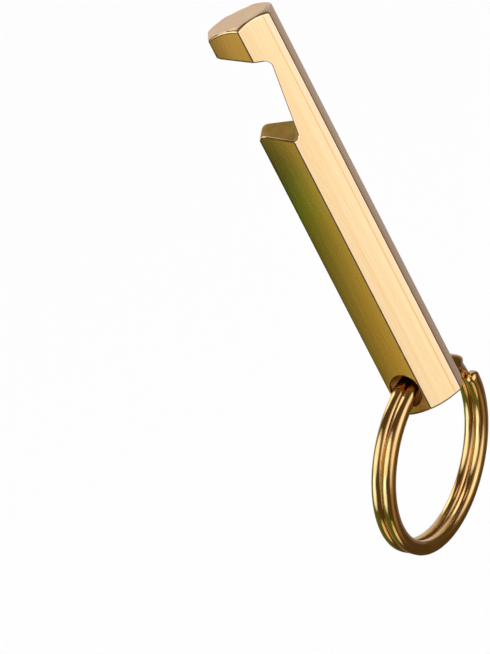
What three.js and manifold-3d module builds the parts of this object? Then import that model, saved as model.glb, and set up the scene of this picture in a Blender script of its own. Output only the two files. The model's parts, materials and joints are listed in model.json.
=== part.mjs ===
// Keychain bottle opener: a length of hexagonal brass bar with a cap slot milled across one end and a
// cross hole at the other, and a two-turn split ring that hangs in the hole.
//
// Frame, in millimetres: +Z runs along the bar to the head end, which holds the cap slot. The slot opens
// towards -X, and the unbroken flat behind it, the spine, faces +X. The origin is on the bar's axis, on
// the underside of the hook, where the opener bears on top of a bottle cap.

import * as THREE from 'three';
import { mergeVertices } from 'three/addons/utils/BufferGeometryUtils.js';
import Module from 'manifold-3d';

const wasm = await Module();
wasm.setup();

// Bar: bright drawn hexagon, its corners turned off at both ends like a nut's. Each chamfer's slope is its
// drop along the bar for each millimetre outwards.
const ACROSS_FLATS = 8;
const BAR_LENGTH = 52.2;
const HEAD_END_Z = 4.7;
const TAIL_END_Z = HEAD_END_Z - BAR_LENGTH;
const BAR_EDGE_RADIUS = 0.35;
const END_FACE_RADIUS = 3.85;
const HEAD_CHAMFER_SLOPE = 0.6;
const TAIL_CHAMFER_SLOPE = 0.3;

// Cap slot: its hook side and its lip side both slope down towards the spine, and its back wall leans.
const HOOK_SLOPE = -0.45;
const LIP_AXIS_Z = -10.4;
const LIP_SLOPE = -0.5;
const WALL_AXIS_X = 1.811;
const WALL_SLOPE = 0.1056;
const TIP_RADIUS = 0.8;
const HOOK_FILLET = 1;
const LIP_FILLET = 0.6;

// Cross hole for the ring, square to one of the two flats beside the slot's front edge.
const HOLE_Z = TAIL_END_Z + 3.2;
const HOLE_RADIUS = 2.05;
const HOLE_CHAMFER = 0.25;
const HOLE_TURN = THREE.MathUtils.degToRad(-30);

// Split ring: two turns of flattened wire side by side, stepping across from one turn to the other. It is
// loose in its hole, so it rests a little off the hole's middle and leans a little.
const RING_OUTER_DIAMETER = 24.8;
const WIRE_RADIAL = 1.8;
const WIRE_AXIAL = 1.34;
const WIRE_EDGE_RADIUS = 0.5;
const COIL_SPACING = 1.43;
const RING_RADIUS = (RING_OUTER_DIAMETER - WIRE_RADIAL) / 2;
const WIRE_START = THREE.MathUtils.degToRad(61);
const STEP_LENGTH = THREE.MathUtils.degToRad(27);
const END_GAP = THREE.MathUtils.degToRad(2);
const RING_DROP = 11.23;
const RING_SLIDE = 0.14;
const RING_LEAN = THREE.MathUtils.degToRad(-1.1);
const RING_SWING = THREE.MathUtils.degToRad(22.8);

const SAFE_OVERLAP = 4;
const HALF_FLATS = ACROSS_FLATS / 2;

function solidFrom(geometry) {
  const bare = geometry.clone();
  bare.deleteAttribute('normal');
  bare.deleteAttribute('uv');
  const merged = mergeVertices(bare, 1e-4);
  const vertProperties = new Float32Array(merged.attributes.position.array);
  const triVerts = new Uint32Array(merged.index.array);
  return new wasm.Manifold(new wasm.Mesh({ numProp: 3, vertProperties, triVerts }));
}

function geometryFrom(solid) {
  const mesh = solid.getMesh();
  const geometry = new THREE.BufferGeometry();
  geometry.setAttribute('position', new THREE.BufferAttribute(mesh.vertProperties, 3));
  geometry.setIndex(new THREE.BufferAttribute(mesh.triVerts, 1));
  geometry.computeVertexNormals();
  return geometry;
}

// Closed outline through the given corners, each { x, y, r }, rounded to its own radius r.
function roundedOutline(corners) {
  const shape = new THREE.Shape();
  corners.forEach(({ x, y, r }, i) => {
    const corner = new THREE.Vector2(x, y);
    const before = corners[(i + corners.length - 1) % corners.length];
    const after = corners[(i + 1) % corners.length];
    const back = new THREE.Vector2(before.x - x, before.y - y).normalize();
    const ahead = new THREE.Vector2(after.x - x, after.y - y).normalize();
    const halfAngle = Math.acos(THREE.MathUtils.clamp(back.dot(ahead), -1, 1)) / 2;
    const reach = r / Math.tan(halfAngle);
    const start = corner.clone().addScaledVector(back, reach);
    if (i === 0) {
      shape.moveTo(start.x, start.y);
    } else {
      shape.lineTo(start.x, start.y);
    }
    if (r > 0) {
      const end = corner.clone().addScaledVector(ahead, reach);
      const middle = back.clone().add(ahead).normalize();
      const centre = corner.clone().addScaledVector(middle, r / Math.sin(halfAngle));
      const from = Math.atan2(start.y - centre.y, start.x - centre.x);
      const to = Math.atan2(end.y - centre.y, end.x - centre.x);
      const clockwise = back.cross(ahead) > 0;
      shape.absarc(centre.x, centre.y, r, from, to, clockwise);
    }
  });
  shape.closePath();
  return shape;
}

function hexagonBar() {
  const cornerDistance = HALF_FLATS / Math.cos(Math.PI / 6);
  const corners = [];
  for (let i = 0; i < 6; i += 1) {
    const angle = Math.PI / 6 + (i * Math.PI) / 3;
    const x = cornerDistance * Math.cos(angle);
    const y = cornerDistance * Math.sin(angle);
    corners.push({ x, y, r: BAR_EDGE_RADIUS });
  }
  const outline = roundedOutline(corners);
  const options = { depth: BAR_LENGTH + 2, bevelEnabled: false, curveSegments: 2 };
  return new THREE.ExtrudeGeometry(outline, options).translate(0, 0, TAIL_END_Z - 1);
}

// What the lathe leaves at the ends: full size along the bar, cut back to a round face at each end.
function turnedBlank() {
  const wide = HALF_FLATS + SAFE_OVERLAP;
  const headCut = HEAD_CHAMFER_SLOPE * (wide - END_FACE_RADIUS);
  const tailCut = TAIL_CHAMFER_SLOPE * (wide - END_FACE_RADIUS);
  const profile = [
    new THREE.Vector2(0, TAIL_END_Z),
    new THREE.Vector2(END_FACE_RADIUS, TAIL_END_Z),
    new THREE.Vector2(wide, TAIL_END_Z + tailCut),
    new THREE.Vector2(wide, HEAD_END_Z - headCut),
    new THREE.Vector2(END_FACE_RADIUS, HEAD_END_Z),
    new THREE.Vector2(0, HEAD_END_Z),
  ];
  return new THREE.LatheGeometry(profile, 96).rotateX(Math.PI / 2);
}

// The milled slot, drawn in the X-Z plane and run right through the bar along Y.
function slotCutter() {
  const opening = -HALF_FLATS - 0.05;
  const outside = -HALF_FLATS - SAFE_OVERLAP;
  const hookZ = (x) => HOOK_SLOPE * x;
  const lipZ = (x) => LIP_AXIS_Z + LIP_SLOPE * x;
  const wallX = (z) => WALL_AXIS_X + WALL_SLOPE * z;
  const hookCornerX = wallX(0) / (1 - WALL_SLOPE * HOOK_SLOPE);
  const lipCornerX = wallX(LIP_AXIS_Z) / (1 - WALL_SLOPE * LIP_SLOPE);
  const outline = roundedOutline([
    { x: outside, y: hookZ(opening) + 1.5, r: 0 },
    { x: outside, y: lipZ(opening) - 1.5, r: 0 },
    { x: opening, y: lipZ(opening) - 1.5, r: 0 },
    { x: opening, y: lipZ(opening), r: TIP_RADIUS },
    { x: lipCornerX, y: lipZ(lipCornerX), r: LIP_FILLET },
    { x: hookCornerX, y: hookZ(hookCornerX), r: HOOK_FILLET },
    { x: opening, y: hookZ(opening), r: TIP_RADIUS },
    { x: opening, y: hookZ(opening) + 1.5, r: 0 },
  ]);
  const reach = ACROSS_FLATS;
  const options = { depth: 2 * reach, bevelEnabled: false, curveSegments: 5 };
  return new THREE.ExtrudeGeometry(outline, options).rotateX(Math.PI / 2).translate(0, reach, 0);
}

// Drill and countersink together; the profile turns about Y, the hole's own axis.
function holeCutter() {
  const chamferStart = HALF_FLATS - HOLE_CHAMFER;
  const far = HALF_FLATS + 1;
  const flared = HOLE_RADIUS + far - chamferStart;
  const profile = [
    new THREE.Vector2(0, -far),
    new THREE.Vector2(flared, -far),
    new THREE.Vector2(HOLE_RADIUS, -chamferStart),
    new THREE.Vector2(HOLE_RADIUS, chamferStart),
    new THREE.Vector2(flared, far),
    new THREE.Vector2(0, far),
  ];
  return new THREE.LatheGeometry(profile, 48).rotateZ(HOLE_TURN).translate(0, 0, HOLE_Z);
}

function openerBar() {
  const blank = solidFrom(hexagonBar()).intersect(solidFrom(turnedBlank()));
  const bar = blank.subtract(solidFrom(slotCutter())).subtract(solidFrom(holeCutter()));
  const brushedBrass = new THREE.MeshStandardMaterial({ color: 0xd9ae62, roughness: 0.38, metalness: 1 });
  const mesh = new THREE.Mesh(geometryFrom(bar), brushedBrass);
  mesh.name = 'opener_bar';
  return mesh;
}

// Centreline of the ring's wire: two turns about X. The angle is measured from the top of the ring, where
// it passes through the bar. The first turn lies on the +X side and ends by stepping over to the -X side.
class WirePath extends THREE.Curve {
  getPoint(t, target = new THREE.Vector3()) {
    const wholeTurn = 2 * Math.PI;
    const stepEnd = wholeTurn - END_GAP / 2;
    const length = 2 * wholeTurn - STEP_LENGTH - 2 * END_GAP;
    const along = t * length;
    const stepped = THREE.MathUtils.smootherstep(along, stepEnd - STEP_LENGTH, stepEnd);
    const angle = WIRE_START + along;
    const axial = COIL_SPACING * (0.5 - stepped);
    return target.set(axial, RING_RADIUS * Math.sin(angle), RING_RADIUS * Math.cos(angle));
  }
}

function splitRing() {
  const halfAxial = WIRE_AXIAL / 2;
  const halfRadial = WIRE_RADIAL / 2;
  const section = roundedOutline([
    { x: -halfAxial, y: -halfRadial, r: WIRE_EDGE_RADIUS },
    { x: halfAxial, y: -halfRadial, r: WIRE_EDGE_RADIUS },
    { x: halfAxial, y: halfRadial, r: WIRE_EDGE_RADIUS },
    { x: -halfAxial, y: halfRadial, r: WIRE_EDGE_RADIUS },
  ]);
  const options = { steps: 110, extrudePath: new WirePath(), bevelEnabled: false, curveSegments: 2 };
  const polishedBrass = new THREE.MeshStandardMaterial({ color: 0xb98a45, roughness: 0.16, metalness: 1 });
  const mesh = new THREE.Mesh(new THREE.ExtrudeGeometry(section, options), polishedBrass);
  mesh.name = 'split_ring';
  mesh.position.set(0, RING_SLIDE, -RING_DROP);
  mesh.rotation.z = RING_LEAN;
  return mesh;
}

// The ring hangs in the hole and swings about the hole's axis, which is this group's Y axis.
function ringInHole() {
  const swing = new THREE.Group();
  swing.rotation.y = RING_SWING;
  swing.add(splitRing());
  const hole = new THREE.Group();
  hole.position.z = HOLE_Z;
  hole.rotation.z = HOLE_TURN;
  hole.add(swing);
  return hole;
}

const opener = new THREE.Group();
opener.add(openerBar());
opener.add(ringInHole());

export default opener;
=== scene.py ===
# %% [markdown]
# # A keychain bottle opener in brass
# The opener is a short piece of hexagonal brass bar with a split ring in one end. A slot near the head
# grips the edge of a bottle's cap. There are only two pieces, so the whole lesson is about getting two
# brass surfaces right: one drawn, brushed and milled, the other a bright polished wire.
#
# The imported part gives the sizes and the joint. Every length below is in metres, and MM turns the
# workshop sizes into metres.

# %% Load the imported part
import json
import math

import bmesh
import bpy
from mathutils import Matrix, Vector


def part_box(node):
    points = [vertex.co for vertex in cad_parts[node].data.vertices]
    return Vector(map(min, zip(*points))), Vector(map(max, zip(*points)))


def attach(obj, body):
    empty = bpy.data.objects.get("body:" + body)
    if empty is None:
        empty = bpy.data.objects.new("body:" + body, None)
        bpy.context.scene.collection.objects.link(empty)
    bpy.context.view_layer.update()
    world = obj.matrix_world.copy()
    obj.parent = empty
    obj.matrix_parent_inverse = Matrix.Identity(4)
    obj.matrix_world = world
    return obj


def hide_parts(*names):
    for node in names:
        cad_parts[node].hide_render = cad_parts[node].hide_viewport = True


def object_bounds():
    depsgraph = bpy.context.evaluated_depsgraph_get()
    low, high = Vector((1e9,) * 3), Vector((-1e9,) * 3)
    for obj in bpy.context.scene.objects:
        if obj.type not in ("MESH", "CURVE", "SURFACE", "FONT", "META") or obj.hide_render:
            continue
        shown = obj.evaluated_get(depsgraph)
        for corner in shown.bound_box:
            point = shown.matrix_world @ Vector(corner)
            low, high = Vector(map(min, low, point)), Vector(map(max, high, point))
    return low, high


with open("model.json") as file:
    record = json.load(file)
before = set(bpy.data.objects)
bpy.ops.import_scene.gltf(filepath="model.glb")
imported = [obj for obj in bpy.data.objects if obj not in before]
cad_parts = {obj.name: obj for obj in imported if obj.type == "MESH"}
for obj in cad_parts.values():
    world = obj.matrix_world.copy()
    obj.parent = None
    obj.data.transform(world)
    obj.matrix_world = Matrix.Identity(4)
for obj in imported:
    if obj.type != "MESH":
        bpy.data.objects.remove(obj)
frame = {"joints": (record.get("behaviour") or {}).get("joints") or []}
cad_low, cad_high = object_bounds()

MM = 0.001
joint = frame["joints"][0]
bar_low, bar_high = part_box("opener_bar")
print("bar from", tuple(bar_low), "to", tuple(bar_high))
print("ring swings about", joint["pos_m"], "along", joint["axis"])

# %% [markdown]
# ## The camera
# A small metal part is best seen from far away through a long lens, so that its parallel edges stay
# nearly parallel. The bar leans across the view, and that lean is made by rolling the camera. The part
# itself keeps its own upright frame, because the joint and the mounts are stated in it.

# %% Camera
VIEW_AZIMUTH = math.radians(11.48)
VIEW_ELEVATION = math.radians(15.5)
VIEW_ROLL = math.radians(-27.69)
VIEW_DISTANCE = 0.5
VIEW_CENTRE = Vector((-16.33 * MM, 0, -29.74 * MM))
VIEW_LENS = 229.8
VIEW_SENSOR = 36
VIEW_NEAREST = 10 * MM


def add_camera():
    level = math.cos(VIEW_ELEVATION)
    back = Vector(
        (math.sin(VIEW_AZIMUTH) * level, -math.cos(VIEW_AZIMUTH) * level, math.sin(VIEW_ELEVATION))
    )
    data = bpy.data.cameras.new("camera")
    data.sensor_width = VIEW_SENSOR
    data.lens = VIEW_LENS
    data.clip_start = VIEW_NEAREST
    camera = bpy.data.objects.new("camera", data)
    bpy.context.scene.collection.objects.link(camera)
    upright = back.to_track_quat("Z", "Y").to_matrix().to_4x4()
    roll = Matrix.Rotation(VIEW_ROLL, 4, "Z")
    camera.matrix_world = Matrix.Translation(VIEW_CENTRE + back * VIEW_DISTANCE) @ upright @ roll
    bpy.context.scene.camera = camera
    return camera


camera = add_camera()
print("lens", round(camera.data.lens), "mm, at", tuple(round(c, 3) for c in camera.location))

# %% [markdown]
# ## Small helpers
# A bmesh is a mesh on the workbench: it is shaped with operators and then written into an object. The
# first helper does that writing. The second carries out a boolean cut with a modifier and keeps only
# the result, which is how a milling cutter or a drill is imitated.

# %% Bench helpers
def finish_mesh(bm, name):
    """Writes the bmesh into a new object of that name and clears the bench."""
    bmesh.ops.recalc_face_normals(bm, faces=bm.faces)
    mesh = bpy.data.meshes.new(name)
    bm.to_mesh(mesh)
    bm.free()
    piece = bpy.data.objects.new(name, mesh)
    bpy.context.scene.collection.objects.link(piece)
    return piece


def bake_modifiers(piece):
    """Replaces the piece's mesh with what its modifiers make of it."""
    bpy.context.view_layer.update()
    graph = bpy.context.evaluated_depsgraph_get()
    shaped = bpy.data.meshes.new_from_object(piece.evaluated_get(graph), depsgraph=graph)
    rough = piece.data
    piece.modifiers.clear()
    piece.data = shaped
    shaped.name = piece.name
    bpy.data.meshes.remove(rough)


def combine(piece, tool, operation):
    """Cuts the piece with the tool, or keeps what they share, and throws the tool away."""
    step = piece.modifiers.new(tool.name, "BOOLEAN")
    step.operation = operation
    step.solver = "EXACT"
    step.object = tool
    bake_modifiers(piece)
    print(tool.name, "leaves", len(piece.data.polygons), "faces")
    bpy.data.meshes.remove(tool.data)


# %% [markdown]
# ## The hexagonal bar
# Hexagonal brass is drawn through a die, which leaves six flats with slightly rounded edges between
# them. A circle of six vertices is already that outline. Bevelling its corners rounds them, and one
# extrusion along Z gives the bar.

# %% Hexagonal blank
ACROSS_FLATS = bar_high.x - bar_low.x
BAR_EDGE_RADIUS = 0.35 * MM
HEAD_END_Z = bar_high.z
TAIL_END_Z = bar_low.z
half_flats = ACROSS_FLATS / 2


def corner_reach(radius, inside_angle):
    """How far from a corner a rounding of that radius starts."""
    return radius / math.tan(inside_angle / 2)


def hexagonal_blank():
    bm = bmesh.new()
    bmesh.ops.create_circle(bm, cap_ends=True, segments=6, radius=half_flats / math.cos(math.pi / 6))
    bmesh.ops.bevel(
        bm,
        geom=bm.verts[:],
        offset=corner_reach(BAR_EDGE_RADIUS, math.radians(120)),
        segments=8,
        profile=0.5,
        affect="VERTICES",
        material=-1,
    )
    spare = 1 * MM
    bmesh.ops.translate(bm, verts=bm.verts, vec=(0, 0, TAIL_END_Z - spare))
    grown = bmesh.ops.extrude_face_region(bm, geom=bm.faces[:])
    top = [v for v in grown["geom"] if isinstance(v, bmesh.types.BMVert)]
    bmesh.ops.translate(bm, verts=top, vec=(0, 0, HEAD_END_Z - TAIL_END_Z + 2 * spare))
    return finish_mesh(bm, "opener")


opener = hexagonal_blank()
print("blank has", len(opener.data.polygons), "faces, across flats", round(ACROSS_FLATS / MM, 2), "mm")

# %% [markdown]
# ## Turned ends
# Each end was faced and chamfered on a lathe, like a nut, so the end face is a disc and every flat
# ends in a shallow arc. The tail's chamfer is the flatter one. The shape that a lathe leaves is a spun
# profile. What the bar and that spun shape share is the turned bar.

# %% Turn the ends
END_FACE_RADIUS = 3.85 * MM
END_EDGE_RADIUS = 0.3 * MM
HEAD_CHAMFER_SLOPE = 0.6
TAIL_CHAMFER_SLOPE = 0.3
SEAM_WELD = 0.0005 * MM


def spun(bm, axis="Z", steps=128):
    """Spins the bench's wire edges once round the axis and closes the seam and the poles."""
    direction = {"Y": (0, 1, 0), "Z": (0, 0, 1)}[axis]
    bmesh.ops.spin(
        bm,
        geom=bm.verts[:] + bm.edges[:],
        cent=(0, 0, 0),
        axis=direction,
        angle=2 * math.pi,
        steps=steps,
        use_merge=True,
    )
    bmesh.ops.remove_doubles(bm, verts=bm.verts, dist=SEAM_WELD)


def turned_shape():
    bm = bmesh.new()
    wide = 2 * half_flats
    head_cut = (wide - END_FACE_RADIUS) * HEAD_CHAMFER_SLOPE
    tail_cut = (wide - END_FACE_RADIUS) * TAIL_CHAMFER_SLOPE
    points = [
        (0, HEAD_END_Z),
        (END_FACE_RADIUS, HEAD_END_Z),
        (wide, HEAD_END_Z - head_cut),
        (wide, TAIL_END_Z + tail_cut),
        (END_FACE_RADIUS, TAIL_END_Z),
        (0, TAIL_END_Z),
    ]
    verts = [bm.verts.new((x, 0, z)) for x, z in points]
    for a, b in zip(verts, verts[1:]):
        bm.edges.new((a, b))
    for vert, slope in ((verts[1], HEAD_CHAMFER_SLOPE), (verts[4], TAIL_CHAMFER_SLOPE)):
        bmesh.ops.bevel(
            bm,
            geom=[vert],
            offset=corner_reach(END_EDGE_RADIUS, math.pi - math.atan(slope)),
            segments=6,
            profile=0.5,
            affect="VERTICES",
            material=-1,
        )
    spun(bm)
    return finish_mesh(bm, "lathe")


combine(opener, turned_shape(), "INTERSECT")

# %% [markdown]
# ## The cap slot
# The slot is one pass of milling, straight through the bar from front to back. Its hook side and its
# lip side both slope down towards the spine, so the lip ends in an upward tooth that catches under a
# cap's skirt. It is drawn as an outline with eight corners. Rounding four of them gives the cutter's
# fillets and the eased tips, and an extrusion along Y gives the cutter.

# %% Mill the slot
HOOK_SLOPE = -0.45
LIP_AXIS_Z = -10.4 * MM
LIP_SLOPE = -0.5
WALL_AXIS_X = 1.811 * MM
WALL_SLOPE = 0.1056
TIP_RADIUS = 0.8 * MM
HOOK_FILLET = 1.0 * MM
LIP_FILLET = 0.6 * MM
TIP_CLEARANCE = 0.05 * MM


def hook_z(x):
    return HOOK_SLOPE * x


def lip_z(x):
    return LIP_AXIS_Z + LIP_SLOPE * x


def slot_cutter():
    opening = -half_flats - TIP_CLEARANCE
    outside = -2 * half_flats
    spare = 1.5 * MM
    hook_x = WALL_AXIS_X / (1 - WALL_SLOPE * HOOK_SLOPE)
    lip_x = (WALL_AXIS_X + WALL_SLOPE * LIP_AXIS_Z) / (1 - WALL_SLOPE * LIP_SLOPE)
    corners = [
        (outside, hook_z(opening) + spare, 0),
        (outside, lip_z(opening) - spare, 0),
        (opening, lip_z(opening) - spare, 0),
        (opening, lip_z(opening), TIP_RADIUS),
        (lip_x, lip_z(lip_x), LIP_FILLET),
        (hook_x, hook_z(hook_x), HOOK_FILLET),
        (opening, hook_z(opening), TIP_RADIUS),
        (opening, hook_z(opening) + spare, 0),
    ]
    bm = bmesh.new()
    verts = [bm.verts.new((x, -ACROSS_FLATS, z)) for x, z, _ in corners]
    bm.faces.new(verts)
    inside_angles = []
    for i, vert in enumerate(verts):
        before = verts[i - 1].co - vert.co
        after = verts[(i + 1) % len(verts)].co - vert.co
        inside_angles.append(before.angle(after))
    for vert, angle, (_, _, radius) in zip(verts, inside_angles, corners):
        if radius:
            bmesh.ops.bevel(
                bm,
                geom=[vert],
                offset=corner_reach(radius, angle),
                segments=14,
                profile=0.5,
                affect="VERTICES",
                material=-1,
            )
    grown = bmesh.ops.extrude_face_region(bm, geom=bm.faces[:])
    back = [v for v in grown["geom"] if isinstance(v, bmesh.types.BMVert)]
    bmesh.ops.translate(bm, verts=back, vec=(0, 2 * ACROSS_FLATS, 0))
    return finish_mesh(bm, "milling_cutter")


combine(opener, slot_cutter(), "DIFFERENCE")

# %% [markdown]
# ## The cross hole
# The ring's hole is drilled square to one flat, so its axis is the joint's axis. Its two rims are eased
# so that they don't scrape the ring. One spun profile is both the drill and the easing.

# %% Drill the hole
HOLE_RADIUS = 2.05 * MM
HOLE_EASE = 0.28 * MM
EASE_STEPS = 6
DRILL_CLEARANCE = 0.002 * MM
HOLE_TURN = math.radians(-30)
hole_centre = Vector(joint["pos_m"])
to_hole = Matrix.Translation(hole_centre) @ Matrix.Rotation(HOLE_TURN, 4, "Z")


def hole_drill():
    bm = bmesh.new()
    far = half_flats + 1 * MM
    face = half_flats + DRILL_CLEARANCE
    points = [(0, -far), (HOLE_RADIUS + HOLE_EASE, -far), (HOLE_RADIUS + HOLE_EASE, -face)]
    for i in range(1, EASE_STEPS + 1):
        turn = math.pi / 2 * i / EASE_STEPS
        across = HOLE_RADIUS + HOLE_EASE * (1 - math.sin(turn))
        along = -face + HOLE_EASE * (1 - math.cos(turn))
        points.append((across, along))
    points += [(across, -along) for across, along in reversed(points)]
    verts = [bm.verts.new((x, y, 0)) for x, y in points]
    for a, b in zip(verts, verts[1:]):
        bm.edges.new((a, b))
    spun(bm, axis="Y", steps=72)
    bmesh.ops.transform(bm, matrix=to_hole, verts=bm.verts)
    return finish_mesh(bm, "drill")


combine(opener, hole_drill(), "DIFFERENCE")

# %% [markdown]
# ## Broken edges
# No edge on a machined part is truly sharp. The slot's edges were broken by tumbling, and the thin
# bright line that they catch is what makes the metal look real. First the flat areas are merged back
# into single faces, so that nothing catches inside them. Then a narrow bevel follows every edge that
# turns by more than fifty degrees. The bevel gives its faces a finish of their own, so the bar gets one
# material slot for each of its four finishes first.

# %% Break the edges
EDGE_BREAK = 0.24 * MM
SHARP_CORNER = math.radians(50)
FACE_WELD = 0.002 * MM
SAME_FLAT = math.radians(0.4)
FLAT, MILLED_SHADED, TURNED, EDGE = range(4)


def tidy_faces(piece):
    bm = bmesh.new()
    bm.from_mesh(piece.data)
    bmesh.ops.remove_doubles(bm, verts=bm.verts, dist=FACE_WELD)
    bmesh.ops.dissolve_limit(
        bm,
        angle_limit=SAME_FLAT,
        verts=bm.verts,
        edges=bm.edges,
        delimit={"NORMAL"},
    )
    bm.to_mesh(piece.data)
    bm.free()


tidy_faces(opener)
for _ in (FLAT, MILLED_SHADED, TURNED, EDGE):
    opener.data.materials.append(None)
edges = opener.modifiers.new("edge_break", "BEVEL")
edges.material = EDGE
edges.width = EDGE_BREAK
edges.segments = 3
edges.limit_method = "ANGLE"
edges.angle_limit = SHARP_CORNER
edges.use_clamp_overlap = False
edges.miter_outer = "MITER_ARC"
bake_modifiers(opener)
print("opener has", len(opener.data.polygons), "faces")

# %% [markdown]
# ## The split ring
# The ring is one flattened wire wound twice round, the turns side by side. Between its two ends the
# wire steps across from one turn to the other. Spin can do all of it: it sweeps the wire's section
# round, and its offset slides the section sideways while it turns. Each blunt end is then domed.

# %% Wind the ring
RING_OUTER_RADIUS = 12.4 * MM
WIRE_RADIAL = 1.8 * MM
WIRE_AXIAL = 1.34 * MM
WIRE_EDGE_RADIUS = 0.46 * MM
COIL_SPACING = 1.43 * MM
WIRE_START = math.radians(61)
TIP_ROUND = 0.5 * MM
TIP_STEPS = 6
TIP_ARC = math.radians(80)
TURN_STEPS = 168
CROSSING_STEPS = 20
STEP_LENGTH = math.radians(27)
END_GAP = math.radians(2)
RING_DROP = 11.23 * MM
RING_SLIDE = 0.14 * MM
RING_LEAN = math.radians(-1.1)
RING_SWING = math.radians(22.8)
ring_radius = RING_OUTER_RADIUS - WIRE_RADIAL / 2
hung = Matrix.Translation((0, RING_SLIDE, -RING_DROP)) @ Matrix.Rotation(RING_LEAN, 4, "Z")
to_ring = to_hole @ Matrix.Rotation(RING_SWING, 4, "Y") @ hung


def wire_section(bm):
    """The wire's rounded section, at the top of the ring, facing along it."""
    bmesh.ops.create_grid(bm, x_segments=1, y_segments=1, size=0.5)
    bmesh.ops.scale(bm, vec=(WIRE_AXIAL, WIRE_RADIAL, 1), verts=bm.verts)
    bmesh.ops.bevel(
        bm,
        geom=bm.verts[:],
        offset=WIRE_EDGE_RADIUS,
        segments=7,
        profile=0.5,
        affect="VERTICES",
        material=-1,
    )
    bmesh.ops.rotate(bm, verts=bm.verts, matrix=Matrix.Rotation(math.pi / 2, 3, "X"))
    bmesh.ops.translate(bm, verts=bm.verts, vec=(COIL_SPACING / 2, 0, ring_radius))


def wind(bm, geom, angle, steps, sideways=0.0):
    """Sweeps the section on round the ring and returns the section at the far end."""
    made = bmesh.ops.spin(
        bm,
        geom=geom,
        cent=(0, 0, 0),
        axis=(-1, 0, 0),
        dvec=(sideways, 0, 0),
        angle=angle,
        steps=steps,
    )
    return made["geom_last"]


def round_tip(bm, cap):
    """Domes a blunt wire end: its cap is raised and shrunk in steps."""
    for i in range(TIP_STEPS):
        low, high = (TIP_ARC * k / TIP_STEPS for k in (i, i + 1))
        rise = cap.normal * TIP_ROUND * (math.sin(high) - math.sin(low))
        shrink = math.cos(high) / math.cos(low)
        middle = cap.calc_center_median()
        bmesh.ops.inset_individual(bm, faces=[cap], thickness=0)
        to_middle = Matrix.Translation(-middle)
        bmesh.ops.scale(bm, vec=(shrink,) * 3, space=to_middle, verts=cap.verts[:])
        bmesh.ops.translate(bm, vec=rise, verts=cap.verts[:])


def smooth_step(t):
    """Eases a crossing from 0 to 1 in and out, so that the wire has no kink."""
    return t * t * t * (t * (6 * t - 15) + 10)


def split_ring():
    bm = bmesh.new()
    wire_section(bm)
    tip_turn = TIP_ROUND / ring_radius
    start = WIRE_START + tip_turn
    bmesh.ops.rotate(bm, verts=bm.verts, matrix=Matrix.Rotation(-start, 3, "X"))
    turn = 2 * math.pi - END_GAP / 2 - STEP_LENGTH - tip_turn
    tip = wind(bm, bm.verts[:] + bm.edges[:] + bm.faces[:], turn, TURN_STEPS)
    for i in range(CROSSING_STEPS):
        shift = smooth_step((i + 1) / CROSSING_STEPS) - smooth_step(i / CROSSING_STEPS)
        tip = wind(bm, tip, STEP_LENGTH / CROSSING_STEPS, 1, -COIL_SPACING * shift)
    wind(bm, tip, turn - END_GAP, TURN_STEPS)
    bmesh.ops.recalc_face_normals(bm, faces=bm.faces)
    for cap in [f for f in bm.faces if len(f.verts) > 4]:
        round_tip(bm, cap)
    bmesh.ops.transform(bm, matrix=to_ring, verts=bm.verts)
    return finish_mesh(bm, "key_ring")


key_ring = split_ring()
print("ring has", len(key_ring.data.polygons), "faces")

# %% [markdown]
# ## Smooth and flat
# Curved stretches are shaded smooth, and the weighted normals keep the big flats truly flat next to
# the narrow bevels.

# %% Shade the pieces
BAR_SHARP = math.radians(35)
RING_SHARP = math.radians(60)


def shade(piece, sharp_angle):
    piece.data.shade_smooth()
    piece.data.set_sharp_from_angle(angle=sharp_angle)
    weighted = piece.modifiers.new("weighted_normals", "WEIGHTED_NORMAL")
    weighted.keep_sharp = True
    bake_modifiers(piece)


shade(opener, BAR_SHARP)
shade(key_ring, RING_SHARP)
for piece in (opener, key_ring):
    sharp = sum(1 for edge in piece.data.edges if edge.use_edge_sharp)
    print(piece.name, "keeps", sharp, "sharp edges of", len(piece.data.edges))

# %% [markdown]
# ## Brass, five ways
# Brass is one metal, but each tool leaves its own mark. The drawn flats are brushed along the bar, the
# edges are worn smooth, the slot has cutter lines across it, the ends have turning rings, and the wire
# is polished. So one helper makes the metal, and each finish adds its own pattern to the colour, the
# roughness and the height.

# %% Metal helper
def bare_nodes(name):
    """A new material with nothing in it but its output."""
    material = bpy.data.materials.new(name)
    material.use_nodes = True
    tree = material.node_tree
    tree.nodes.clear()
    return material, tree, tree.nodes.new("ShaderNodeOutputMaterial")


def metal_nodes(name):
    """A new material that is plain metal so far."""
    material, tree, output = bare_nodes(name)
    metal = tree.nodes.new("ShaderNodeBsdfPrincipled")
    tree.links.new(metal.outputs["BSDF"], output.inputs["Surface"])
    metal.inputs["Metallic"].default_value = 1.0
    return material, tree, metal


def place(tree, scale):
    """Object coordinates in millimetres, stretched by the given scale."""
    where = tree.nodes.new("ShaderNodeTexCoord")
    mapping = tree.nodes.new("ShaderNodeMapping")
    mapping.inputs["Scale"].default_value = [s / MM for s in scale]
    tree.links.new(where.outputs["Object"], mapping.inputs["Vector"])
    return mapping.outputs["Vector"]


def noise(tree, vector, detail=2.0):
    node = tree.nodes.new("ShaderNodeTexNoise")
    node.inputs["Scale"].default_value = 1.0
    node.inputs["Detail"].default_value = detail
    node.inputs["Roughness"].default_value = 0.5
    tree.links.new(vector, node.inputs["Vector"])
    return node.outputs["Fac"]


def ramp(tree, value, stops):
    """Turns a value into a colour through the given (position, colour) stops."""
    node = tree.nodes.new("ShaderNodeValToRGB")
    points = node.color_ramp.elements
    points[0].position, points[0].color = stops[0][0], (*stops[0][1], 1)
    points[1].position, points[1].color = stops[-1][0], (*stops[-1][1], 1)
    for position, colour in stops[1:-1]:
        points.new(position).color = (*colour, 1)
    tree.links.new(value, node.inputs["Fac"])
    return node.outputs["Color"]


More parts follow.
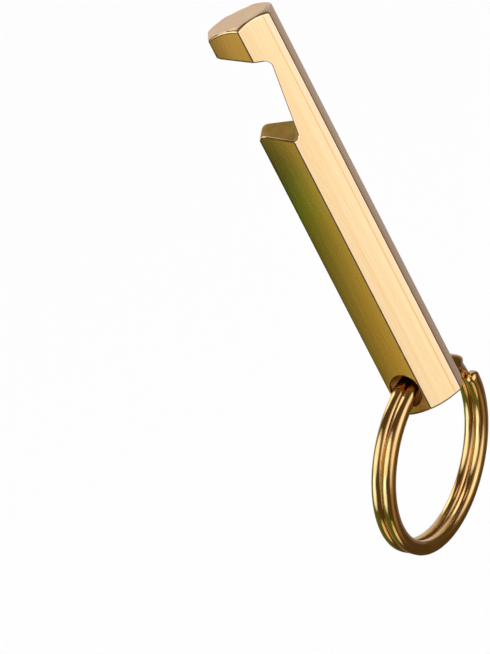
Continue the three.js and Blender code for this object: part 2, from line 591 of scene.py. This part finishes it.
def spread(tree, value, low, high, start=0.0, end=1.0):
    """Maps a value that runs from start to end onto low to high."""
    node = tree.nodes.new("ShaderNodeMapRange")
    node.inputs["From Min"].default_value = start
    node.inputs["From Max"].default_value = end
    node.inputs["To Min"].default_value = low
    node.inputs["To Max"].default_value = high
    tree.links.new(value, node.inputs["Value"])
    return node.outputs["Result"]


def bump(tree, metal, height, distance, under=None):
    """Lets a height tilt the metal's surface, over another bump if one is given."""
    node = tree.nodes.new("ShaderNodeBump")
    node.inputs["Strength"].default_value = 1.0
    node.inputs["Distance"].default_value = distance
    tree.links.new(height, node.inputs["Height"])
    if under is not None:
        tree.links.new(under, node.inputs["Normal"])
    tree.links.new(node.outputs["Normal"], metal.inputs["Normal"])
    return node.outputs["Normal"]


def show(material):
    print(material.name, "is made of", len(material.node_tree.nodes), "nodes")
    return material


# %% [markdown]
# ## Brushed flats
# The grain is a noise stretched along the bar: fine hairlines a tenth of a millimetre wide and a few
# millimetres long, over broad soft stripes from the drawing die. The highlight is stretched across the
# grain, which a tangent that runs round the bar gives. Brushing also rounds each flat a little towards
# its edges, so a flat shows a soft change of tone across its width. A worn spot in the die left a
# faint line down one flat. The paler, whiter strip beyond that line is a painted highlight.

# %% Brushed brass
BRASS_LIGHT = (0.97, 0.745, 0.440)
BRASS_DEEP = (0.93, 0.670, 0.345)
CROWN_HEIGHT = 0.34 * MM
HAIRLINE_DEPTH = 0.004 * MM
LINE_ACROSS = 1.36 * MM
LINE_WIDTH = 0.1 * MM
LINE_SOFTNESS = 0.008
SKIN_DEPTH = 0.2 * MM
PLAIN = (1.0, 1.0, 1.0)
LINE_TINT = (0.84, 0.76, 0.60)
# painted highlight: a paler, whiter strip down one flat, beyond the die's line
STRIP_SHEEN = (0.96, 0.98, 1.10)


def maths(tree, operation, first, second=None):
    """One maths node; its inputs are sockets or numbers."""
    node = tree.nodes.new("ShaderNodeMath")
    node.operation = operation
    for socket, value in zip(node.inputs, (first, second)):
        if isinstance(value, (int, float)):
            socket.default_value = value
        elif value is not None:
            tree.links.new(value, socket)
    return node.outputs["Value"]


def flat_crown(tree, parts):
    """How far each flat falls off towards its edges: the square of the slope from its middle."""
    half_turn = math.pi / 6
    around = maths(tree, "ARCTAN2", parts.outputs["Y"], parts.outputs["X"])
    turned = maths(tree, "ADD", around, 2 * math.pi + half_turn)
    in_flat = maths(tree, "MODULO", turned, 2 * half_turn)
    aside = maths(tree, "TANGENT", maths(tree, "SUBTRACT", in_flat, half_turn))
    return maths(tree, "MULTIPLY", maths(tree, "MULTIPLY", aside, aside), -1)


def drawn_flat(tree, parts):
    """A tint across one flat, plain but for the die's line and the painted highlight of the strip beyond
    it.
    """
    half, tall = 0.5, math.sqrt(3) / 2
    along_x = maths(tree, "MULTIPLY", parts.outputs["X"], tall)
    along_y = maths(tree, "MULTIPLY", parts.outputs["Y"], half)
    across = maths(tree, "ADD", along_x, along_y)
    share = maths(tree, "ADD", maths(tree, "DIVIDE", across, ACROSS_FLATS / MM), 0.5)
    line, end = (0.5 + t / ACROSS_FLATS for t in (LINE_ACROSS, LINE_ACROSS + LINE_WIDTH))
    stops = [
        (line - LINE_SOFTNESS, PLAIN),
        (line, LINE_TINT),
        (end, LINE_TINT),
        (end + LINE_SOFTNESS, STRIP_SHEEN),
    ]
    out_x = maths(tree, "MULTIPLY", parts.outputs["X"], half)
    out_y = maths(tree, "MULTIPLY", parts.outputs["Y"], tall)
    out = maths(tree, "SUBTRACT", out_x, out_y)
    on_flat = maths(tree, "GREATER_THAN", out, (half_flats - SKIN_DEPTH) / MM)
    return ramp(tree, share, stops), on_flat


def brushed_brass():
    material, tree, metal = metal_nodes("brushed_brass")
    parts = tree.nodes.new("ShaderNodeSeparateXYZ")
    tree.links.new(place(tree, (1, 1, 1)), parts.inputs["Vector"])
    hairlines = noise(tree, place(tree, (8, 8, 0.35)), detail=3)
    stripes = noise(tree, place(tree, (1.6, 1.6, 0.03)), detail=2)
    colour = ramp(tree, stripes, [(0.3, BRASS_DEEP), (0.7, BRASS_LIGHT)])
    tint, on_flat = drawn_flat(tree, parts)
    tinted = tree.nodes.new("ShaderNodeMix")
    tinted.data_type = "RGBA"
    tinted.blend_type = "MULTIPLY"
    tree.links.new(on_flat, tinted.inputs["Factor"])
    tree.links.new(colour, tinted.inputs["A"])
    tree.links.new(tint, tinted.inputs["B"])
    tree.links.new(tinted.outputs["Result"], metal.inputs["Base Color"])
    tree.links.new(spread(tree, hairlines, 0.2, 0.34), metal.inputs["Roughness"])
    metal.inputs["Anisotropic"].default_value = 0.6
    tangent = tree.nodes.new("ShaderNodeTangent")
    tangent.direction_type = "RADIAL"
    tangent.axis = "Z"
    tree.links.new(tangent.outputs["Tangent"], metal.inputs["Tangent"])
    crowned = bump(tree, metal, flat_crown(tree, parts), CROWN_HEIGHT)
    bump(tree, metal, hairlines, HAIRLINE_DEPTH, under=crowned)
    return material


flat_finish = show(brushed_brass())

# %% [markdown]
# ## Worn edges
# Handling polishes an edge long before it polishes a flat. So the bar's long edges and the broken edges
# of the slot have a smoother metal, which gathers the dark walls and the bright panels into thin lines.
# Their brass is also paler than the flats': partly wear, partly a painted highlight along each edge.

# %% Edge brass
NICK_DEPTH = 0.01 * MM


def worn_edge_and_sheen():
    material, tree, metal = metal_nodes("worn_edge_and_sheen")
    nicks = noise(tree, place(tree, (2, 2, 1)), detail=3)
    # partly painted highlight: the edges' brass runs paler and lighter than the flats'
    colour = ramp(tree, nicks, [(0.35, (0.92, 0.70, 0.42)), (0.65, (1.0, 0.84, 0.60))])
    tree.links.new(colour, metal.inputs["Base Color"])
    tree.links.new(spread(tree, nicks, 0.1, 0.24), metal.inputs["Roughness"])
    bump(tree, metal, nicks, NICK_DEPTH)
    return material


edge_finish_and_sheen = show(worn_edge_and_sheen())

# %% [markdown]
# ## Milled, turned and polished
# The slot's cutter lines run from front to back, so that noise is stretched along Y. The slot's brass is
# also far darker than the bar's: partly duller milled metal, partly painted shade inside the slot. The
# end faces carry rings, so theirs follows the distance from the bar's axis. The ring's wire was rolled
# flat, so its sides still bulge a little, and tumbled to a polish with faint waves and scratches.

# %% The other finishes
CUTTER_LINE_DEPTH = 0.012 * MM
TURNING_RING_DEPTH = 0.006 * MM
TURNING_RINGS_PER_MM = 9
WAVE_DEPTH = 0.03 * MM
WIRE_CROWN = 0.28
MILLED_GLANCE = (0.98, 0.91, 0.54, 1)


def shaded_milled_brass():
    material, tree, metal = metal_nodes("shaded_milled_brass")
    lines = noise(tree, place(tree, (9, 0.25, 9)), detail=3)
    patches = noise(tree, place(tree, (0.8, 0.5, 0.8)), detail=2)
    # painted shade: the slot's brass is made far darker than the bar's, beyond what milling dulls
    colour = ramp(tree, patches, [(0.3, (0.29, 0.17, 0.035)), (0.7, (0.44, 0.26, 0.06))])
    tree.links.new(colour, metal.inputs["Base Color"])
    metal.inputs["Specular Tint"].default_value = MILLED_GLANCE
    tree.links.new(spread(tree, lines, 0.28, 0.5), metal.inputs["Roughness"])
    bump(tree, metal, lines, CUTTER_LINE_DEPTH)
    return material


def turned_brass():
    material, tree, metal = metal_nodes("turned_brass")
    flat = place(tree, (1, 1, 0))
    reach = tree.nodes.new("ShaderNodeVectorMath")
    reach.operation = "LENGTH"
    tree.links.new(flat, reach.inputs[0])
    rings = tree.nodes.new("ShaderNodeTexNoise")
    rings.noise_dimensions = "1D"
    rings.inputs["Scale"].default_value = TURNING_RINGS_PER_MM
    rings.inputs["Detail"].default_value = 3
    tree.links.new(reach.outputs["Value"], rings.inputs["W"])
    patches = noise(tree, place(tree, (0.5, 0.5, 0.5)), detail=2)
    colour = ramp(tree, patches, [(0.3, (0.88, 0.66, 0.38)), (0.7, (0.95, 0.73, 0.44))])
    tree.links.new(colour, metal.inputs["Base Color"])
    tree.links.new(spread(tree, rings.outputs["Fac"], 0.32, 0.46), metal.inputs["Roughness"])
    bump(tree, metal, rings.outputs["Fac"], TURNING_RING_DEPTH)
    return material


def wire_crown(tree):
    """How far the wire's sides fall off from their middles, in the ring's own frame."""
    where = tree.nodes.new("ShaderNodeTexCoord")
    local = tree.nodes.new("ShaderNodeMapping")
    local.vector_type = "TEXTURE"
    local.inputs["Location"].default_value = to_ring.translation
    local.inputs["Rotation"].default_value = to_ring.to_euler()
    local.inputs["Scale"].default_value = (MM, MM, MM)
    tree.links.new(where.outputs["Object"], local.inputs["Vector"])
    parts = tree.nodes.new("ShaderNodeSeparateXYZ")
    tree.links.new(local.outputs["Vector"], parts.inputs["Vector"])
    squares = [maths(tree, "POWER", parts.outputs[axis], 2) for axis in "YZ"]
    reach = maths(tree, "SQRT", maths(tree, "ADD", *squares))
    out = maths(tree, "SUBTRACT", reach, ring_radius / MM)
    side = maths(tree, "ABSOLUTE", parts.outputs["X"])
    across = maths(tree, "SUBTRACT", side, COIL_SPACING / 2 / MM)
    radial = maths(tree, "MULTIPLY", maths(tree, "POWER", out, 2), -WIRE_CROWN)
    axial = maths(tree, "MULTIPLY", maths(tree, "POWER", across, 2), -WIRE_CROWN)
    return maths(tree, "ADD", radial, axial)


def polished_brass():
    material, tree, metal = metal_nodes("polished_brass")
    waves = noise(tree, place(tree, (0.45, 0.45, 0.45)), detail=2)
    scratches = noise(tree, place(tree, (6, 6, 6)), detail=3)
    colour = ramp(tree, waves, [(0.3, (0.82, 0.54, 0.22)), (0.7, (0.95, 0.69, 0.34))])
    tree.links.new(colour, metal.inputs["Base Color"])
    tree.links.new(spread(tree, scratches, 0.06, 0.13), metal.inputs["Roughness"])
    crowned = bump(tree, metal, wire_crown(tree), 1 * MM)
    bump(tree, metal, waves, WAVE_DEPTH, under=crowned)
    return material


slot_finish_and_shade = show(shaded_milled_brass())
end_finish = show(turned_brass())
wire_finish = show(polished_brass())

# %% [markdown]
# ## Which face was cut by which tool
# The bar keeps all its finishes on one mesh. The edge breaks already have theirs, from the bevel, but
# along the slot's deep wall they take the dark slot brass, a painted shade line along that edge. An end
# face or chamfer faces along Z near an end. The hole's wall is worn as smooth as an edge by the ring. A
# drawn flat lies at the bar's full width and faces straight out. What is left beside the flats is a long
# edge, and what is left further in was milled.

# %% Give each face its finish
END_ZONE = 1 * MM
FACE_SLACK = 0.02 * MM
CORNER_ZONE = 0.3 * MM
outward = [Vector((math.cos(i * math.pi / 3), math.sin(i * math.pi / 3), 0)) for i in range(6)]


def on_slot_wall(way):
    return way.x < -0.3 and abs(way.z) < 0.4


def at_bar_end(where, way):
    near_end = where.z > HEAD_END_Z - END_ZONE or where.z < TAIL_END_Z + END_ZONE
    return near_end and abs(way.z) > 0.35


def in_hole(where):
    drilled = to_hole.inverted() @ where
    return math.hypot(drilled.x, drilled.z) < HOLE_RADIUS + FACE_SLACK


def on_long_edge(where, way):
    return math.hypot(where.x, where.y) > half_flats + CORNER_ZONE and abs(way.z) < 0.05


def face_finish(face):
    where, way = face.center, face.normal
    if face.material_index == EDGE:
        # painted shade: the slot wall's edge breaks take the dark slot brass, which draws a dark line
        # there
        return MILLED_SHADED if on_slot_wall(way) else EDGE
    if at_bar_end(where, way):
        return TURNED
    if in_hole(where):
        return EDGE
    distance, facing = max((where.dot(out), way.dot(out)) for out in outward)
    if distance > half_flats - FACE_SLACK:
        return FLAT if facing > 0.999 else EDGE
    return EDGE if on_long_edge(where, way) else MILLED_SHADED


finishes = {FLAT: flat_finish, MILLED_SHADED: slot_finish_and_shade, TURNED: end_finish, EDGE: edge_finish_and_sheen}
for face in opener.data.polygons:
    face.material_index = face_finish(face)
for index, finish in finishes.items():
    opener.data.materials[index] = finish
key_ring.data.materials.append(wire_finish)
counts = [sum(1 for f in opener.data.polygons if f.material_index == i) for i in finishes]
print("flats, milled, turned and edge faces:", counts)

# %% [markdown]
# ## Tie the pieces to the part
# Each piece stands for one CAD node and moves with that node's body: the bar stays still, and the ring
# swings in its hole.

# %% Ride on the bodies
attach(opener, "bar")
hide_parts("opener_bar")
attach(key_ring, "ring")
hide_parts("split_ring")
print(opener.name, "rides on the bar and", key_ring.name, "on the ring")

# %% [markdown]
# ## The studio walls
# Bare metal has no colour of its own to show: it shows what stands round it. So the studio is built
# for reflections. Each soft panel is told by its direction and its size, and between the panels the
# walls are a dim warm brown, which draws the dark lines beside the bright edges. Only reflections see
# the panels. The camera sees a plain white sweep.

# %% Soft panels
WALL_BROWN = (0.085, 0.052, 0.022)
SWEEP_WHITE = (1, 1, 1, 1)
SWEEP_STRENGTH = 1.08
PANELS = [
    # azimuth, elevation, full size, faded out, colour
    (-38, -2, 24, 50, (0.94, 0.94, 0.97)),
    (-36, 4, 4, 22, (0.27, 0.27, 0.32)),
    (-20, -12, 4, 14, (0.22, 0.22, 0.30)),
    (-148, 28, 12, 32, (1.20, 1.30, 1.25)),
    (-159, -6, 8, 23, (1.10, 1.30, 1.30)),
    (-160, -62, 8, 22, (0.80, 0.66, 0.45)),
    (-168, -38, 4, 16, (0.02, 0.09, 0.00)),
    (150, -14, 14, 40, (0.03, 0.11, 0.00)),
    (130, 60, 10, 22, (1.20, 1.12, 1.00)),
    (-76, 18, 8, 36, (0.20, 0.13, 0.05)),
    (-15, -42, 10, 38, (0.24, 0.17, 0.07)),
    (28, -12, 6, 24, (0.02, 0.02, 0.00)),
    (106, 22, 16, 62, (0.54, 0.52, 0.56)),
    (70, -16, 6, 26, (0.14, 0.13, 0.16)),
]


def toward(azimuth, elevation):
    """The direction at so many degrees round from +X towards +Y, and so many up."""
    flat = math.cos(math.radians(elevation))
    angle = math.radians(azimuth)
    height = math.sin(math.radians(elevation))
    return Vector((math.cos(angle) * flat, math.sin(angle) * flat, height))


def soft_panel(tree, facing, panel):
    """One panel's light, as a colour that fades out round its direction."""
    azimuth, elevation, full, faded, colour = panel
    match = tree.nodes.new("ShaderNodeVectorMath")
    match.operation = "DOT_PRODUCT"
    match.inputs[1].default_value = -toward(azimuth, elevation)
    tree.links.new(facing, match.inputs[0])
    fade = tree.nodes.new("ShaderNodeMapRange")
    fade.interpolation_type = "SMOOTHSTEP"
    fade.inputs["From Min"].default_value = math.cos(math.radians(faded))
    fade.inputs["From Max"].default_value = math.cos(math.radians(full))
    tree.links.new(match.outputs["Value"], fade.inputs["Value"])
    light = tree.nodes.new("ShaderNodeVectorMath")
    light.operation = "SCALE"
    light.inputs[0].default_value = colour
    tree.links.new(fade.outputs["Result"], light.inputs["Scale"])
    return light.outputs["Vector"]


def studio_world():
    world = bpy.data.worlds.new("studio")
    world.use_nodes = True
    tree = world.node_tree
    tree.nodes.clear()
    facing = tree.nodes.new("ShaderNodeNewGeometry").outputs["Incoming"]
    total = tree.nodes.new("ShaderNodeVectorMath")
    total.inputs[0].default_value = WALL_BROWN
    for panel in PANELS:
        tree.links.new(soft_panel(tree, facing, panel), total.inputs[1])
        following = tree.nodes.new("ShaderNodeVectorMath")
        tree.links.new(total.outputs["Vector"], following.inputs[0])
        total = following
    mirrored = tree.nodes.new("ShaderNodeBackground")
    tree.links.new(total.outputs["Vector"], mirrored.inputs["Color"])
    seen = tree.nodes.new("ShaderNodeBackground")
    seen.inputs["Color"].default_value = SWEEP_WHITE
    seen.inputs["Strength"].default_value = SWEEP_STRENGTH
    path = tree.nodes.new("ShaderNodeLightPath")
    pick = tree.nodes.new("ShaderNodeMixShader")
    tree.links.new(path.outputs["Is Glossy Ray"], pick.inputs["Fac"])
    tree.links.new(seen.outputs["Background"], pick.inputs[1])
    tree.links.new(mirrored.outputs["Background"], pick.inputs[2])
    output = tree.nodes.new("ShaderNodeOutputWorld")
    tree.links.new(pick.outputs["Shader"], output.inputs["Surface"])
    bpy.context.scene.world = world


studio_world()
print(len(PANELS), "panels round the opener")

# %% [markdown]
# ## The card and the floor
# The flat on the left looks at something close: a card whose colour runs from gold through green back
# to gold. It is near enough for its colours to run along the flat, and only reflections see it. Towards
# the viewer it glows more strongly, and its colours fade into one gold. The ring has to look past it, so
# the card lets through every ray that sets out from the ring. The floor is a pale sheet well below the
# hanging opener, left out of the reflections.

# %% Card and floor
CARD_STOPS = [
    # height in millimetres, colour
    (-70, (0.32, 0.24, 0.07)),
    (-48, (0.30, 0.23, 0.03)),
    (-37, (0.21, 0.20, 0.03)),
    (-30, (0.13, 0.16, 0.00)),
    (-25, (0.08, 0.21, 0.00)),
    (-20, (0.03, 0.07, 0.00)),
    (-12, (0.24, 0.21, 0.03)),
    (-5, (0.44, 0.33, 0.11)),
    (10, (0.44, 0.33, 0.11)),
]
CARD_SIDE = (0.26, 0.19, 0.045)
CARD_SIDE_SHARE = 0.85
CARD_FADE = (-13.5 * MM, -20.5 * MM)
CARD_GLOW = (0.25, 1.85)
CARD_GLOW_ZONE = (-6 * MM, -20 * MM)
CARD_HALF_SIZE = (40 * MM, 22 * MM, 1)
CARD_CENTRE = Vector((-29.5, -13.0, -30.0)) * MM
CARD_TURN = math.radians(18.5)
LEFT_FLAT_AZIMUTH = -120
RING_CLEARANCE = 0.15 * MM
FLOOR_HALF_SIZE = 3
FLOOR_DROP = 0.1
FLOOR_WHITE = (0.93, 0.93, 0.93, 1)


def from_ring(tree):
    """1 where the ray that meets the card set out from the ring, clear of the flat it serves."""
    ray = tree.nodes.new("ShaderNodeLightPath").outputs["Ray Length"]
    here = tree.nodes.new("ShaderNodeNewGeometry")
    back = tree.nodes.new("ShaderNodeVectorMath")
    back.operation = "SCALE"
    tree.links.new(here.outputs["Incoming"], back.inputs[0])
    tree.links.new(ray, back.inputs["Scale"])
    start = tree.nodes.new("ShaderNodeVectorMath")
    tree.links.new(here.outputs["Position"], start.inputs[0])
    tree.links.new(back.outputs["Vector"], start.inputs[1])
    out = tree.nodes.new("ShaderNodeVectorMath")
    out.operation = "DOT_PRODUCT"
    tree.links.new(start.outputs["Vector"], out.inputs[0])
    out.inputs[1].default_value = toward(LEFT_FLAT_AZIMUTH, 0)
    height = tree.nodes.new("ShaderNodeSeparateXYZ")
    tree.links.new(start.outputs["Vector"], height.inputs["Vector"])
    beside = maths(tree, "GREATER_THAN", out.outputs["Value"], half_flats + RING_CLEARANCE)
    below = maths(tree, "LESS_THAN", height.outputs["Z"], TAIL_END_Z)
    return maths(tree, "MAXIMUM", beside, below)


def card_material():
    material, tree, output = bare_nodes("tinted_card")
    where = tree.nodes.new("ShaderNodeTexCoord")
    parts = tree.nodes.new("ShaderNodeSeparateXYZ")
    tree.links.new(where.outputs["Object"], parts.inputs["Vector"])
    low, high = CARD_STOPS[0][0], CARD_STOPS[-1][0]
    climb = spread(tree, parts.outputs["Z"], 0.0, 1.0, low * MM, high * MM)
    stops = [((z - low) / (high - low), colour) for z, colour in CARD_STOPS]
    tint = ramp(tree, climb, stops)
    aside = spread(tree, parts.outputs["Y"], 0.0, CARD_SIDE_SHARE, *CARD_FADE)
    tinted = tree.nodes.new("ShaderNodeMix")
    tinted.data_type = "RGBA"
    tree.links.new(aside, tinted.inputs["Factor"])
    tree.links.new(tint, tinted.inputs["A"])
    tinted.inputs["B"].default_value = (*CARD_SIDE, 1)
    glow = tree.nodes.new("ShaderNodeEmission")
    tree.links.new(tinted.outputs["Result"], glow.inputs["Color"])
    strength = spread(tree, parts.outputs["Y"], *CARD_GLOW, *CARD_GLOW_ZONE)
    tree.links.new(strength, glow.inputs["Strength"])
    clear = tree.nodes.new("ShaderNodeBsdfTransparent")
    choice = tree.nodes.new("ShaderNodeMixShader")
    tree.links.new(from_ring(tree), choice.inputs["Fac"])
    tree.links.new(glow.outputs["Emission"], choice.inputs[1])
    tree.links.new(clear.outputs["BSDF"], choice.inputs[2])
    tree.links.new(choice.outputs["Shader"], output.inputs["Surface"])
    return material


def tinted_card():
    bm = bmesh.new()
    bmesh.ops.create_grid(bm, x_segments=1, y_segments=1, size=1)
    bmesh.ops.scale(bm, vec=CARD_HALF_SIZE, verts=bm.verts)
    bmesh.ops.rotate(bm, verts=bm.verts, matrix=Matrix.Rotation(math.pi / 2, 3, "Y"))
    bmesh.ops.rotate(bm, verts=bm.verts, matrix=Matrix.Rotation(CARD_TURN, 3, "Z"))
    bmesh.ops.translate(bm, verts=bm.verts, vec=CARD_CENTRE)
    card = finish_mesh(bm, "tinted_card")
    card.data.materials.append(show(card_material()))
    card.visible_camera = False
    card.visible_diffuse = False
    card.visible_shadow = False


def pale_floor():
    bm = bmesh.new()
    bmesh.ops.create_grid(bm, x_segments=1, y_segments=1, size=FLOOR_HALF_SIZE)
    bmesh.ops.translate(bm, verts=bm.verts, vec=(0, 0, cad_low.z - FLOOR_DROP))
    floor = finish_mesh(bm, "floor")
    material, tree, sheet = metal_nodes("pale_floor")
    sheet.inputs["Metallic"].default_value = 0.0
    sheet.inputs["Base Color"].default_value = FLOOR_WHITE
    sheet.inputs["Roughness"].default_value = 0.9
    floor.data.materials.append(show(material))
    floor.visible_glossy = False


tinted_card()
pale_floor()
bpy.context.scene.view_settings.view_transform = "Standard"
